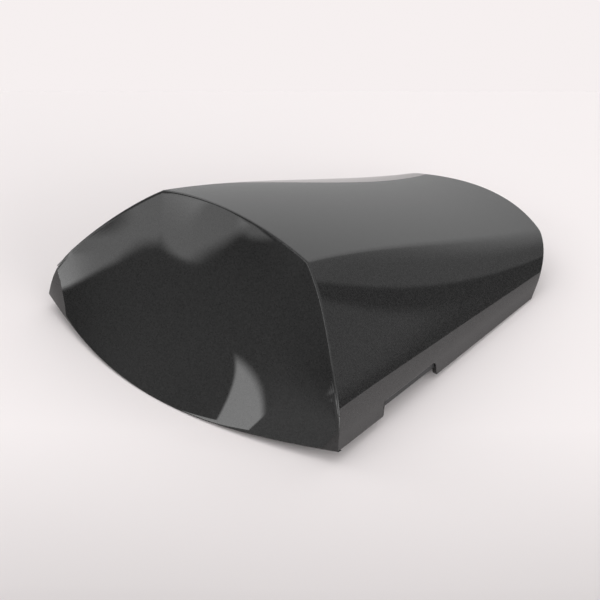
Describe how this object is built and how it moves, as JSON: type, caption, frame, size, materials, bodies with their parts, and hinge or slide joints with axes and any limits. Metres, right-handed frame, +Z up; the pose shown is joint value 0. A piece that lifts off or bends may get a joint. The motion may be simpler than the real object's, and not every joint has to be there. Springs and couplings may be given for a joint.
{
  "type": "seat cowl",
  "caption": "Wedge-shaped motorbike seat cowl: a thin hollow moulding in gloss metallic paint, open below, with a lock striker, rubber buffers and rear hooks underneath.",
  "frame": {"origin": "on the surface that the cowl rests on, at the middle of its width and length", "axes": "+X across to the right, +Y from the front lip to the tail, +Z up"},
  "size_m": [0.24, 0.2805, 0.0935],
  "materials": {
    "shell": "dark grey metallic paint under clear coat, bare black moulding inside",
    "striker": "zinc-plated steel",
    "screw": "zinc-plated steel",
    "buffer": "matt black rubber"
  },
  "bodies": {
    "root": {"cowl_shell": "shell", "lock_striker": "striker", "striker_screws": "screw", "rubber_buffers": "buffer"}
  },
  "joints": []
}
